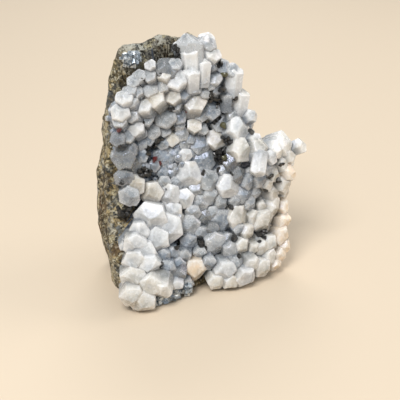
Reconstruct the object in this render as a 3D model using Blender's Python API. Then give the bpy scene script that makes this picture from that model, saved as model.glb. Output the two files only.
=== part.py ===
"""Aura quartz: a palm-sized plate of milky quartz crystals grown over a broken piece of ore rock.

The specimen stands on a small flat spot. X runs to the right across the crystal face, Y runs back
into the rock, and Z is up, with the origin on the ground under the middle of the specimen.
Places and sizes are given in millimetres and become metres as the meshes are made.
"""

import math
import random

import bmesh
import bpy
import numpy as np
from mathutils import Euler, Matrix, Vector, kdtree, noise

MM = 0.001

# Driving dimensions
MIDDLE = (6.94, 0.70)  # across, back: the middle of the specimen, which comes to stand at the origin
FACE_LEAN = 0.26  # how far the crystal face goes back for each millimetre it climbs
FACE_FOOT = -15.0  # Y of the crystal tips at the ground
CRUST = 7.0  # from the crystal tips back to the bare rock
TOE = 5.0  # how much thinner the crust is at the ground, where the rock shows under it
TOE_HEIGHT = 8.0
BED = 3.6  # solid quartz under the crystals
GAP = 0.35  # clearance between two minerals that touch
GROUND_CLEARANCE = 0.3
TIGHT = 0.01  # corners nearer than this slide apart
SLIDE = 0.04

# Swells and hollows of the crystal face: across, up, radius, height towards the viewer
SWELLS = {
    "lower left mass": (-25, 5, 17, 8.5),
    "right shoulder": (25, 45, 13, 6),
    "crown": (6, 84, 13, 4),
    "lower right mass": (15, 4, 18, 9),
    "left hollow": (-10, 54, 17, -5),
    "upper crevice": (16, 60, 6, -3),
    "lower crevice": (13, 49, 6, -3),
}

# Broken faces of the rock: outward direction, and a point on the face; bumps on it: place, radius, rise
ROCK_CENTRE = (-1, 7, 44)
ROCK_REACH = (34, 19, 50)
ROCK_FACES = {
    "left side": ((-0.98, 0.16, 0.13), (-29.8, 0, 52)),
    "left foot": ((-0.97, 0.16, -0.12), (-31.8, 0, 14)),
    "left shoulder": ((-0.93, 0.20, 0.30), (-24.5, 10, 80)),
    "left back": ((-0.60, 0.80, 0.05), (-30, 21, 48)),
    "back": ((0.04, 0.99, 0.09), (0, 23, 40)),
    "back foot": ((0.10, 0.90, -0.42), (0, 24, 18)),
    "right back": ((0.75, 0.66, 0.10), (22, 17, 36)),
    "right side": ((0.98, 0.10, -0.05), (31, 0, 28)),
    "right slope": ((0.90, 0.10, 0.42), (17, 0, 72)),
    "top": ((0.0, 0.10, 0.99), (0, 12, 90.3)),
    "top left break": ((-0.28, -0.62, 0.73), (-18, 9, 84)),
    "front undercut": ((0.25, -0.70, -0.66), (2, -13, 2)),
    "right undercut": ((0.62, -0.10, -0.78), (24, 0, 3)),
}
ROCK_BUMPS = {
    "knob": (-3.5, 14, 91, 4.5, 3.0),
    "left foot bump": (-33, 8, 23, 5, 1.8),
}
ROCK_ROUNDING = 0.8
ROCK_LUMPS = 1.5
ROCK_LUMP_SIZE = 9.0
LUMP_FADE, LUMP_STEP, LUMP_LAYERS = 0.9, 2.2, 2  # each layer of lumps is finer and lower than the last
BALL_STEPS = 5  # how often the ball that a stone starts from is divided
NEAREST, FARTHEST = 0.1, 2.2  # parts of the rock's reach between which its surface is looked for
HALVINGS = 20
ROCK_DETAIL = 0.22  # part of the ball's faces that the rock keeps
BED_DETAIL = 0.17
GRAIN_DEPTH = 1.5  # how far the middle of a dark grain lies behind the crystal tips

# Where the quartz stops: outward direction of the bare side, and a point on the boundary
COVER_SLOPE = 1.6  # how fast the bed thickens from its edge
CRUST_EDGES = {
    "left edge": ((-0.74, 0.65, -0.20), (-27, 3.5, 40)),
    "top left edge": ((-0.62, 0.25, 0.75), (-14, 8, 78)),
    "back edge": ((0.25, 0.93, -0.24), (30, 7, 40)),
    "crown back": ((0.05, 0.99, -0.08), (8, 14, 80)),
    "under edge": ((-0.10, 0.15, -0.98), (5, -8, 4)),
}

# Quartz crystals: across, up, width of each, in the order they lie on the face
CRYSTALS = {
    "crown": [
        (4.5, 88.5, 9), (8, 91, 8), (9, 85.5, 8), (4, 83, 9), (12, 90.5, 6), (13, 86.5, 6),
        (-5.5, 84.5, 8.5), (-8, 81, 6.5), (-2.5, 79, 7.5),
    ],
    "upper slope": [
        (12.8, 79, 6), (5.2, 77, 6), (21.5, 78.5, 7), (22, 73.5, 8.5), (4.8, 71, 8.5),
        (-4.5, 73.5, 6.5), (-8.5, 78, 6), (-12.8, 77.5, 6.5), (-22.5, 75.5, 6.5), (-11.5, 73.5, 8),
        (-15.5, 71.5, 7), (-24.5, 70.5, 7),
    ],
    "left hollow": [
        (-7, 65.5, 8.5), (-19.5, 64, 7), (-1, 65, 6), (-22.8, 61.5, 6), (-4.8, 56.5, 6),
        (-22.5, 55.5, 6), (-25.5, 53, 8), (-22.3, 49.3, 8), (-26.8, 46.5, 6),
    ],
    "right edge": [
        (11.5, 66, 7.5), (18.2, 68, 6), (24, 67.3, 8), (21.5, 63, 6), (13.3, 54.5, 8),
        (15.3, 59, 6), (22.5, 57.5, 9.5), (7.5, 47, 9), (6.5, 52.7, 7.5),
    ],
    "right shoulder": [
        (21.5, 50.5, 9), (17.5, 46.3, 7.5), (24.5, 43.5, 7.5), (28.3, 48, 7), (33, 46, 6),
        (32, 42, 6), (36.5, 47.5, 7), (41.3, 48.8, 9.5), (48.3, 46.5, 6), (43, 44, 6.5),
        (40.3, 41.5, 6.5), (41.8, 37.5, 7), (40.3, 33, 8), (28, 38, 6.5), (35, 38.5, 6.5),
        (21.5, 32.7, 7.5), (35, 30.5, 6.5),
    ],
    "middle": [
        (-0.8, 42.3, 10.5), (7.8, 40, 8), (15, 37, 9.5), (-22.7, 43, 8.5), (-16.5, 38, 8.5),
        (-25.5, 39, 7.5), (-9.7, 36.3, 9), (-3.7, 34.3, 7.5), (-9, 31.3, 6.5), (2.7, 36.5, 6.5),
        (2.5, 31.5, 6.5), (7.3, 33, 6.5), (12.5, 31, 6.5), (10.5, 24, 8.5), (18.3, 24.3, 10),
        (24.3, 28.3, 6), (-3.7, 24.5, 8.5),
    ],
    "lower left mass": [
        (-19, 30, 11), (-13, 25.7, 11), (-18, 22.7, 8), (-24, 26.5, 6.5), (-26.5, 23, 7.5),
        (-24.5, 19.5, 9), (-28.3, 17.5, 8), (-23, 14.7, 9.5), (-30, 12, 8.5), (-25, 9, 9.5),
        (-31.5, 6.5, 8.5), (-28.5, 3.5, 9), (-20.5, 6.7, 8.5),
    ],
    "lower middle": [
        (-16.5, 12.7, 6), (-5, 18, 6.5), (-4.5, 8.3, 9), (5.7, 16.5, 9), (11, 14, 6.5),
        (20.7, 18.3, 6.5), (7, 7.7, 8.5), (12.3, 9.3, 6.5), (3, 4, 6.5), (9, 2.7, 6.5),
        (14.7, 4, 8.5), (18.3, 8, 7),
    ],
    "lower right edge": [
        (28.5, 19.7, 10), (34.5, 24.5, 8), (38.3, 18.5, 7), (36.5, 12.3, 8.5), (29.5, 12, 7.5),
        (24.7, 12, 6.5), (22.7, 5.7, 7.5), (28, 7, 7.5), (33.5, 6, 6.5),
    ],
}

# Crystals round the right side, behind the face: across, up, width, distance behind the face
SIDE_CRYSTALS = [
    (44.5, 40.5, 6, 4), (43, 34.5, 6.5, 4), (41, 28.5, 6, 3), (35, 10, 7, 8), (36.5, 19, 7.5, 9),
    (37, 28, 7, 10), (40, 38, 7.5, 9), (40, 46, 8, 8), (30.5, 56, 7, 9), (27.5, 64, 6.5, 8),
    (25, 72, 6.5, 7), (20.5, 80, 6.5, 7), (14, 89, 6.5, 7),
]
CRYSTAL_LENGTH = 11.5  # of a slim crystal; a wide one is longer
LENGTH_PER_WIDTH = 0.3
TIP_SLOPE = 34.0  # degrees between a tip face and the plane across the crystal
TIP_OFFSET = 0.10  # how far a tip may stand beside the crystal's middle, as a part of the width
FAN_MIDDLE = (8, 22)  # across, up: where crystals point straight out of the face
FAN_REACH = (43, 60)  # across, up: distance over which they lean fully outwards
FAN_LEFT, FAN_RIGHT, FAN_DOWN, FAN_UP = -0.35, 0.82, -0.35, 0.80
LEAST_FORWARD = 0.15  # how far every crystal still faces the viewer, squared
TIP_REACH = 0.12  # how far a wide crystal stands out of the face, as a part of its width
UNEVEN = 0.7
SPLAY = 0.22  # how much one crystal's direction differs from its neighbours'

# Dark sphalerite in the crevices: across, up, size of each block in a clump
SPHALERITE = {
    "centre_crevice": [(16.8, 52.0, 5.5), (14.5, 48.5, 5.5), (13.4, 44.5, 5.0)],
    "under_blue_crystal": [(12.2, 61.2, 5.5), (15.0, 59.3, 3.8)],
    "upper_right": [(12.8, 69.8, 4.6), (15.6, 67.6, 4.4)],
    "crown_left": [(0.2, 89.6, 3.4), (1.0, 87.4, 3.2)],
    "crown_right": [(14.8, 83.6, 3.4), (15.4, 81.6, 3.0)],
    "hollow": [(-12.2, 54.2, 4.8), (-9.6, 54.6, 3.6)],
    "left_foot": [(-24.6, 35.8, 5.4), (-26.8, 32.2, 5.4), (-22.8, 38.6, 4.0)],
    "hollow_foot": [(-18.4, 45.4, 4.4), (-15.6, 44.6, 4.0)],
    "lower_middle": [(1.2, 17.0, 4.2), (0.2, 18.8, 3.4)],
    "lower_right": [(25.0, 15.2, 4.4), (27.2, 16.6, 3.4)],
}

GRAIN_CORNERS = (0.85, 1.25)  # a block's corners move in or out by this

# Galena cubes on the bare rock: a point near the surface, and the size of the group
GALENA = {
    "top_corner": ((-16.5, 12.0, 85.6), 7.0),
    "front_edge": ((-11.5, -18.2, 3.9), 5.4),
    "front_left": ((-17.5, -19.0, 2.6), 4.4),
}
CUBES = 5
CUBE_SIDES = (0.34, 0.60)  # of the group's size
CUBE_SPREAD = 0.3
CUBE_TURN = 0.5  # radians

# Finishes: colour, roughness, how metallic
FINISHES = {
    "ore rock": ((0.20, 0.19, 0.14), 0.85, 0.0),
    "milky quartz": ((0.72, 0.75, 0.78), 0.30, 0.0),
    "sphalerite": ((0.02, 0.018, 0.015), 0.35, 0.0),
    "galena": ((0.30, 0.34, 0.40), 0.28, 0.9),
}


def face_y(across, up):
    """Y of the crystal tips at a place on the face."""
    y = FACE_FOOT + FACE_LEAN * up
    for swell_across, swell_up, radius, height in SWELLS.values():
        away = (across - swell_across) ** 2 + (up - swell_up) ** 2
        y = y - height * np.exp(-away / radius**2)
    return y


def lumps(points):
    """Height of the broken rock's lumps at each point, about -1 to 1."""
    layers = (LUMP_FADE, LUMP_STEP, LUMP_LAYERS)
    return np.array([noise.fractal(Vector(p) / ROCK_LUMP_SIZE, *layers) for p in points])


def beyond_faces(points, faces):
    """How far each point lies beyond each flat face, one column a face."""
    columns = []
    for direction, place in faces.values():
        direction = np.array(direction) / np.linalg.norm(direction)
        columns.append((points - np.array(place)) @ direction)
    return np.stack(columns, axis=1)


def soft_max(values, rounding):
    """The largest value in each row, rounded where two are close, as worn edges are."""
    top = values.max(axis=1)
    return top + rounding * np.log(np.exp((values - top[:, None]) / rounding).sum(axis=1))


def outside_rock(points):
    """How far each point lies outside the rock, less than nothing inside it."""
    up = points[:, 2]
    crust = CRUST - TOE * np.exp(-((up / TOE_HEIGHT) ** 2))
    front = (face_y(points[:, 0], up) + crust - points[:, 1]) / math.hypot(1, FACE_LEAN)
    broken = beyond_faces(points, ROCK_FACES)
    return soft_max(np.column_stack([broken, front]), ROCK_ROUNDING)


def bumps(points):
    """Height of the rock's separate bumps at each point."""
    height = np.zeros(len(points))
    for *place, radius, rise in ROCK_BUMPS.values():
        away = ((points - place) ** 2).sum(axis=1)
        height += rise * np.exp(-away / radius**2)
    return height


def bare(points):
    """The rock has nothing over it."""
    return np.zeros(len(points))


def quartz_cover(points):
    """Thickness of the quartz bed over the rock; it dives under the surface where rock is bare."""
    past_edge = beyond_faces(points, CRUST_EDGES).max(axis=1)
    return np.clip(-COVER_SLOPE * past_edge, -BED, BED)


def stone(name, cover):
    """A closed stone: a ball whose points move along rays to where the rock and its cover end."""
    bpy.ops.mesh.primitive_ico_sphere_add(subdivisions=BALL_STEPS, radius=1)
    ball = bpy.context.object
    ball.name = ball.data.name = name
    centre = np.array(ROCK_CENTRE, float)
    rays = np.array([v.co for v in ball.data.vertices]) * ROCK_REACH
    relief = ROCK_LUMPS * lumps(centre + rays)
    near, far = np.full(len(rays), NEAREST), np.full(len(rays), FARTHEST)
    for _ in range(HALVINGS):
        middle = (near + far) / 2
        points = centre + rays * middle[:, None]
        inside = outside_rock(points) < relief + bumps(points) + cover(points)
        near, far = np.where(inside, middle, near), np.where(inside, far, middle)
    points = centre + rays * near[:, None]
    ball.data.vertices.foreach_set("co", (points * MM).astype(np.float32).ravel())
    ball.data.update()
    return ball


def modifier(piece, kind, **settings):
    """Add one modifier with its settings."""
    added = piece.modifiers.new(kind.title(), kind)
    for key, value in settings.items():
        setattr(added, key, value)


def combine(piece, operation, other):
    """Join a piece with another object, or with a whole collection, or cut it by them.

    The exact solver loses whole grains on this many crossing crystals; the manifold one keeps them.
    """
    if isinstance(other, bpy.types.Collection):
        operand = {"operand_type": "COLLECTION", "collection": other}
    else:
        operand = {"object": other}
    modifier(piece, "BOOLEAN", operation=operation, solver="MANIFOLD", **operand)
    bake(piece)


def bake(piece):
    """Replace a piece's mesh with what its modifiers make of it."""
    bpy.context.view_layer.update()
    evaluated = piece.evaluated_get(bpy.context.evaluated_depsgraph_get())
    mesh = bpy.data.meshes.new_from_object(evaluated)
    piece.modifiers.clear()
    piece.data = mesh


def part_corners(shape):
    """Slide corners that all but touch a little way apart, each along its longest edge."""
    tree = kdtree.KDTree(len(shape.verts))
    for number, corner in enumerate(shape.verts):
        tree.insert(corner.co, number)
    tree.balance()
    for number, corner in enumerate(shape.verts):
        if any(other > number for _, other, _ in tree.find_range(corner.co, TIGHT * MM)):
            longest = max(corner.link_edges, key=lambda edge: edge.calc_length())
            along = longest.other_vert(corner).co - corner.co
            corner.co += along.normalized() * SLIDE * MM


def keep_largest_body(piece):
    """Drop every loose shell but the largest, such as the walls of a sealed hollow."""
    shape = bmesh.new()
    shape.from_mesh(piece.data)
    waiting = set(shape.verts)
    bodies = []
    while waiting:
        body, edge = set(), {waiting.pop()}
        while edge:
            body |= edge
            edge = {e.other_vert(v) for v in edge for e in v.link_edges} - body
        waiting -= body
        bodies.append(body)
    bodies.sort(key=len)
    for body in bodies[:-1]:
        bmesh.ops.delete(shape, geom=list(body), context="VERTS")
    between = [corner for corner in shape.verts if len(corner.link_edges) == 2]
    bmesh.ops.dissolve_verts(shape, verts=between)
    part_corners(shape)
    bmesh.ops.triangulate(shape, faces=shape.faces)
    shape.to_mesh(piece.data)
    shape.free()


def cut_flat(shape, place, outward):
    """Cut off what lies beyond a plane and close the cut with one flat face."""
    everything = shape.verts[:] + shape.edges[:] + shape.faces[:]
    cut = bmesh.ops.bisect_plane(
        shape, geom=everything, plane_co=place, plane_no=outward, clear_outer=True, dist=1e-7
    )
    rim = [item for item in cut["geom_cut"] if isinstance(item, bmesh.types.BMEdge)]
    bmesh.ops.holes_fill(shape, edges=rim)


def crystal(name, tip, direction, width, chance):
    """A quartz crystal: a six-sided shaft whose end face is drawn out into a blunt six-sided tip."""
    shape = bmesh.new()
    radius = width / 2 / math.cos(math.pi / 6)
    tip_height = width / 2 * math.tan(math.radians(TIP_SLOPE))
    shaft = CRYSTAL_LENGTH + LENGTH_PER_WIDTH * width - tip_height
    bmesh.ops.create_cone(
        shape, cap_ends=True, segments=6, radius1=radius, radius2=radius, depth=shaft,
        matrix=Matrix.Translation((0, 0, -tip_height - shaft / 2)),
    )
    end = max(shape.faces, key=lambda face: face.calc_center_median().z)
    middle = bmesh.ops.poke(shape, faces=[end], offset=tip_height)["verts"][0]
    middle.co.x += width * chance.uniform(-TIP_OFFSET, TIP_OFFSET)
    middle.co.y += width * chance.uniform(-TIP_OFFSET, TIP_OFFSET)
    turn = chance.uniform(0, math.pi / 3)
    facing = direction.to_track_quat("Z", "Y").to_matrix().to_4x4()
    place = Matrix.Translation(tip) @ facing @ Matrix.Rotation(turn, 4, "Z")
    bmesh.ops.transform(shape, matrix=Matrix.Scale(MM, 4) @ place, verts=shape.verts)
    lowest = min(v.co.z for v in shape.verts)
    raise_by = max(0, GROUND_CLEARANCE * MM - lowest)
    bmesh.ops.translate(shape, vec=(0, 0, raise_by), verts=shape.verts)
    return block_object(name, shape)


def clip(value, low, high):
    """The value, held between two limits."""
    return min(max(value, low), high)


def growth_direction(across, up, chance):
    """The way a crystal points: they fan out to the right edge, the crown and the foot."""
    sideways = clip((across - FAN_MIDDLE[0]) / FAN_REACH[0], FAN_LEFT, FAN_RIGHT)
    upwards = clip((up - FAN_MIDDLE[1]) / FAN_REACH[1], FAN_DOWN, FAN_UP)
    forwards = -math.sqrt(max(LEAST_FORWARD, 1 - sideways**2 - upwards**2))
    splay = Vector([chance.gauss(0, SPLAY / 2) for _ in range(3)])
    return (Vector((sideways, forwards, upwards)) + splay).normalized()


def crystals(collection):
    """Every quartz crystal on the face, linked to a collection of its own."""
    chance = random.Random(25)
    places = [(*member, 0) for members in CRYSTALS.values() for member in members] + SIDE_CRYSTALS
    for number, (across, up, width, behind) in enumerate(places):
        direction = growth_direction(across, up, chance)
        tip = Vector((across, float(face_y(across, up)) + behind, up))
        tip += direction * (TIP_REACH * width + chance.uniform(-UNEVEN, UNEVEN))
        collection.objects.link(crystal(f"crystal {number}", tip, direction, width, chance))


def block_object(name, shape):
    """An object made of a finished bmesh."""
    mesh = bpy.data.meshes.new(name)
    shape.to_mesh(mesh)
    shape.free()
    return bpy.data.objects.new(name, mesh)


def grain_clump(name, places, chance):
    """Blocky dark crystals, one at each place: balls of twenty flats with their corners moved."""
    blocks = []
    for across, up, size in places:
        shape = bmesh.new()
        centre = Vector((across, float(face_y(across, up)) + GRAIN_DEPTH, up))
        bmesh.ops.create_icosphere(shape, subdivisions=1, radius=size / 2)
        for corner in shape.verts:
            corner.co *= chance.uniform(*GRAIN_CORNERS)
        place = Matrix.Scale(MM, 4) @ Matrix.Translation(centre)
        bmesh.ops.transform(shape, matrix=place, verts=shape.verts)
        blocks.append(block_object(name, shape))
    return blocks


def cube_group(name, centre, size, chance):
    """A group of intergrown cubes, the shape that galena takes."""
    blocks = []
    for _ in range(CUBES):
        shape = bmesh.new()
        side = size * chance.uniform(*CUBE_SIDES)
        offset = Vector([chance.uniform(-CUBE_SPREAD, CUBE_SPREAD) * size for _ in range(3)])
        bmesh.ops.create_cube(shape, size=side * MM)
        turn = Euler([chance.uniform(0, CUBE_TURN) for _ in range(3)]).to_matrix().to_4x4()
        place = Matrix.Translation((Vector(centre) + offset) * MM) @ turn
        bmesh.ops.transform(shape, matrix=place, verts=shape.verts)
        blocks.append(block_object(name, shape))
    return blocks


def collection_named(name, under=None):
    """A new collection, in the scene or inside another."""
    made = bpy.data.collections.new(name)
    (under or bpy.context.scene.collection).children.link(made)
    return made


def joined(blocks, helpers, collection):
    """One solid of several overlapping blocks."""
    first, *others = blocks
    group = collection_named(f"{first.name} blocks", helpers)
    for block in others:
        group.objects.link(block)
        hide(block)
    collection.objects.link(first)
    combine(first, "UNION", group)
    keep_largest_body(first)
    return first


def hide(helper):
    """Mark an object as a helper that is no part of the specimen."""
    helper.hide_render = True
    helper.display_type = "WIRE"


def swollen(piece, helpers):
    """A piece grown by the clearance, to cut its neighbours with; it always holds the piece itself."""
    cutter = bpy.data.objects.new(f"{piece.name} clearance", piece.data.copy())
    helpers.objects.link(cutter)
    modifier(cutter, "DISPLACE", strength=GAP * MM, mid_level=0)
    bake(cutter)
    combine(cutter, "UNION", piece)
    hide(cutter)
    return cutter


def colour(piece, finish):
    """Give a piece its own material, in one of the finishes."""
    base, roughness, metallic = FINISHES[finish]
    material = bpy.data.materials.new(f"{piece.name} material")
    material.use_nodes = True
    shader = material.node_tree.nodes["Principled BSDF"]
    shader.inputs["Base Color"].default_value = (*base, 1)
    shader.inputs["Roughness"].default_value = roughness
    shader.inputs["Metallic"].default_value = metallic
    piece.data.materials.clear()
    piece.data.materials.append(material)


def move_to(piece, collection):
    """Keep a piece in one collection only."""
    for holder in piece.users_collection:
        holder.objects.unlink(piece)
    collection.objects.link(piece)


def matrix_rock(parts):
    """The broken ore rock that the quartz grew on, with the flat spot that it stands on."""
    rock = stone("matrix_rock", bare)
    move_to(rock, parts)
    modifier(rock, "DECIMATE", ratio=ROCK_DETAIL)
    bake(rock)
    shape = bmesh.new()
    shape.from_mesh(rock.data)
    cut_flat(shape, (0, 0, 0), (0, 0, -1))
    shape.to_mesh(rock.data)
    shape.free()
    colour(rock, "ore rock")
    return rock


def quartz_crust(parts, helpers, neighbours):
    """The intergrown quartz: a bed over the rock with every crystal joined to it."""
    crust = stone("quartz_crust", quartz_cover)
    move_to(crust, parts)
    modifier(crust, "DECIMATE", ratio=BED_DETAIL)
    bake(crust)
    grown = collection_named("crystals", helpers)
    crystals(grown)
    for helper in grown.objects:
        hide(helper)
    combine(crust, "UNION", grown)
    keep_largest_body(crust)
    clearances = collection_named("crust clearances", helpers)
    for neighbour in neighbours:
        swollen(neighbour, clearances)
    combine(crust, "DIFFERENCE", clearances)
    keep_largest_body(crust)
    colour(crust, "milky quartz")
    return crust


def on_rock(piece, rock, helpers):
    """Cut away the part of a piece that would lie inside the rock."""
    combine(piece, "DIFFERENCE", swollen(rock, helpers))
    keep_largest_body(piece)


def sphalerite(parts, helpers, rock):
    """The dark grains in the crevices between the crystals."""
    chance = random.Random(3)
    made = []
    for place, places in SPHALERITE.items():
        blocks = grain_clump(f"sphalerite_{place}", places, chance)
        grain = joined(blocks, helpers, parts)
        on_rock(grain, rock, helpers)
        colour(grain, "sphalerite")
        made.append(grain)
    return made


def galena(parts, helpers, rock):
    """The groups of blue-grey metallic cubes on the bare rock."""
    chance = random.Random(11)
    made = []
    for place, (centre, size) in GALENA.items():
        blocks = cube_group(f"galena_{place}", centre, size, chance)
        group = joined(blocks, helpers, parts)
        on_rock(group, rock, helpers)
        colour(group, "galena")
        made.append(group)
    return made


def main():
    for thing in list(bpy.data.objects):
        bpy.data.objects.remove(thing, do_unlink=True)
    parts = collection_named("aura quartz specimen")
    helpers = collection_named("helpers")
    rock = matrix_rock(parts)
    minerals = sphalerite(parts, helpers, rock) + galena(parts, helpers, rock)
    quartz_crust(parts, helpers, [rock] + minerals)
    to_origin = Matrix.Translation((-MIDDLE[0] * MM, -MIDDLE[1] * MM, 0))
    for piece in parts.objects:
        piece.data.transform(to_origin)
    for helper in helpers.all_objects:
        hide(helper)


main()
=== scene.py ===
"""The looks of an aura quartz specimen: milky quartz crystals on a broken piece of ore rock.

Places and sizes are in millimetres: across, back and up, with the ground at 0, as in the part's
own source. They become metres, centred on the origin, as each mesh is made.
"""

import math

import bmesh
import bpy
import numpy as np
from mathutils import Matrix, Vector


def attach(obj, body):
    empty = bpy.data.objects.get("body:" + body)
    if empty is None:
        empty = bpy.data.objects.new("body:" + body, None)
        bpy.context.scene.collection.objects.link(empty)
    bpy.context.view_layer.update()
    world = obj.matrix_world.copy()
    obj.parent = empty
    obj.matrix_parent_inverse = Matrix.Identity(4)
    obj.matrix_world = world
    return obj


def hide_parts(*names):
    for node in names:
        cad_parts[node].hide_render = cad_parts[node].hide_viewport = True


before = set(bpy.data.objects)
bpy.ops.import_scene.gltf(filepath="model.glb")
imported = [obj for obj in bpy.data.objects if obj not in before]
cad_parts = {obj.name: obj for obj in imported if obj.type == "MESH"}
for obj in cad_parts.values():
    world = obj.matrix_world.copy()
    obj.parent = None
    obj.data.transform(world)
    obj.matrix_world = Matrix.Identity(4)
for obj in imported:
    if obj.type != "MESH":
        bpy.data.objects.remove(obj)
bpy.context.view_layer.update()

bl_info = {
    "name": "Aura quartz specimen",
    "version": (1, 0, 0),
    "blender": (4, 5, 0),
    "location": "3D View > Sidebar > Aura Quartz",
    "description": "Grows quartz crystals, dark grains and metallic cubes on a broken ore rock",
    "category": "Add Mesh",
}

MM = 0.001
MIDDLE = np.array((6.94, 0.70, 0.0))  # the middle of the specimen, which stands at the origin
ROCK_CENTRE = np.array((-1.0, 7.0, 44.0))
ROCK_REACH = np.array((34.0, 19.0, 50.0))

# The crystal face, as in the part's source: lean, foot, then swells as across, up, radius, height
FACE_LEAN = 0.26
FACE_FOOT = -15.0
SWELLS = {
    "lower left mass": (-25, 5, 17, 8.5),
    "right shoulder": (25, 45, 13, 6),
    "crown": (6, 84, 13, 4),
    "lower right mass": (15, 4, 18, 9),
    "left hollow": (-10, 54, 17, -5),
    "upper crevice": (16, 60, 6, -3),
    "lower crevice": (13, 49, 6, -3),
}
BED = 3.6  # thickness of the quartz bed
BED_SLOPE = 1.6  # how fast it thickens from its edge
# Edges of the bed: the direction out of it, and a place on the edge
CRUST_EDGES = {
    "left edge": ((-0.74, 0.65, -0.20), (-27, 3.5, 40)),
    "top left edge": ((-0.62, 0.25, 0.75), (-14, 8, 78)),
    "back edge": ((0.25, 0.93, -0.24), (30, 7, 40)),
    "crown back": ((0.05, 0.99, -0.08), (8, 14, 80)),
    "under edge": ((-0.10, 0.15, -0.98), (5, -8, 4)),
}
# How the crystals fan out by their place on the face: from where, over how far, and the limits
FAN_MIDDLE = (8, 22)
FAN_REACH = (43, 60)
FAN_SIDEWAYS = (-0.35, 0.82)
FAN_UPWARDS = (-0.35, 0.80)
LEAST_FORWARD = 0.15
DIRECTION_SPLAY = 0.11
TIP_REACH = 0.12  # how far a tip stands out of the face, as a part of the crystal's width
CRYSTAL_SEED = 7
LEAST_CORNERS = {"quartz": 1000, "grains": 40, "galena": 24}  # a loose body with fewer is a splinter
HEAD_LENGTH = 9.5  # length of an ordinary crystal, most of it inside the bed
GROUND_CLEARANCE = 0.3
THIN_BED = 2.4  # a bed thinner than this shows as granular rock
BARE_ABOVE = 82.0  # and so does all of the bed above this height
CORE_CLEARANCE = 0.5  # how far below the rock's surface the quartz goes

# The fine surface of the rock: rings and columns, then size, seed and height of its pebbles and ripples
ROCK_GRID = (190, 250)
SHARES = 48  # the directions are worked through in this many lots, to spare memory
PEBBLES = [(2.4, 5.0, 0.30), (1.3, 9.0, 0.14)]
PEBBLES_SUNK = 0.22
RIPPLES = (6.0, 4, 0.28)
BED_RIPPLES = (4.0, 8, 0.5)
WAVES, WAVE_HEIGHT = 14, 2.2  # how many sines make a ripple, and what brings it to about -1 to 1
# What scatters the pebbles: any uneven numbers do
SCATTER = np.array([[12.99, 39.35, 93.99], [78.23, 11.14, 67.35], [37.72, 83.16, 21.53]])
SCATTER_STRETCH = 43758.5453
GROUND = 0.02  # what lies lower is the flat that the specimen stands on

# The shape of one crystal. Parts of its width, unless it says otherwise
CRYSTAL_COLUMNS = 12
CRYSTAL_RINGS = 3
TIP_SLOPES = (25, 39)  # degrees between a tip face and the plane across the crystal
SMALL_FACE_STEPS = (0.08, 0.40)  # how much higher the three smaller tip faces stand
SMALL_FACE_WORN = 1.05  # and how much lower their tops are worn
SMALL_FACE_TOP = 5  # degrees about the axis to either end of a small face's top
HEAD_RING = 0.55  # how far from the tip to the shoulder the ring in the head lies
CRYSTAL_LEAN = 0.16  # how far a tip may stand beside the axis
FOOT_TAPER = 0.93
BEVELLED_FROM = 5.4  # crystals wider than this, in millimetres, have worn edges
BEVEL = 0.07
TIP_UNEVEN = 0.6  # in millimetres

# The small crystals on the open bed: where they may stand, and their size in usual widths
OPEN_BED = 0.4  # the bed is at least this thick there
SMALL_FROM, SMALL_TO = 1.5, 90.0  # heights between which they stand
SMALL_WIDTHS = (0.6, 1.55)
SMALL_RISES = (0.8, 2.6)
RISE_SHARES = (0.6, 0.4)  # of that rise, whatever the width, and for each usual width
SMALL_SPLAY = 0.16
TURN_FORWARD = 0.7  # how far they turn from the rock's own outward direction to that of the large ones
SMALL_LENGTH = (3.0, 1.3)  # length is the first, and the second for each millimetre of width
ROOM = 0.36  # two crystals stand this far apart, for each millimetre of their widths together

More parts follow.
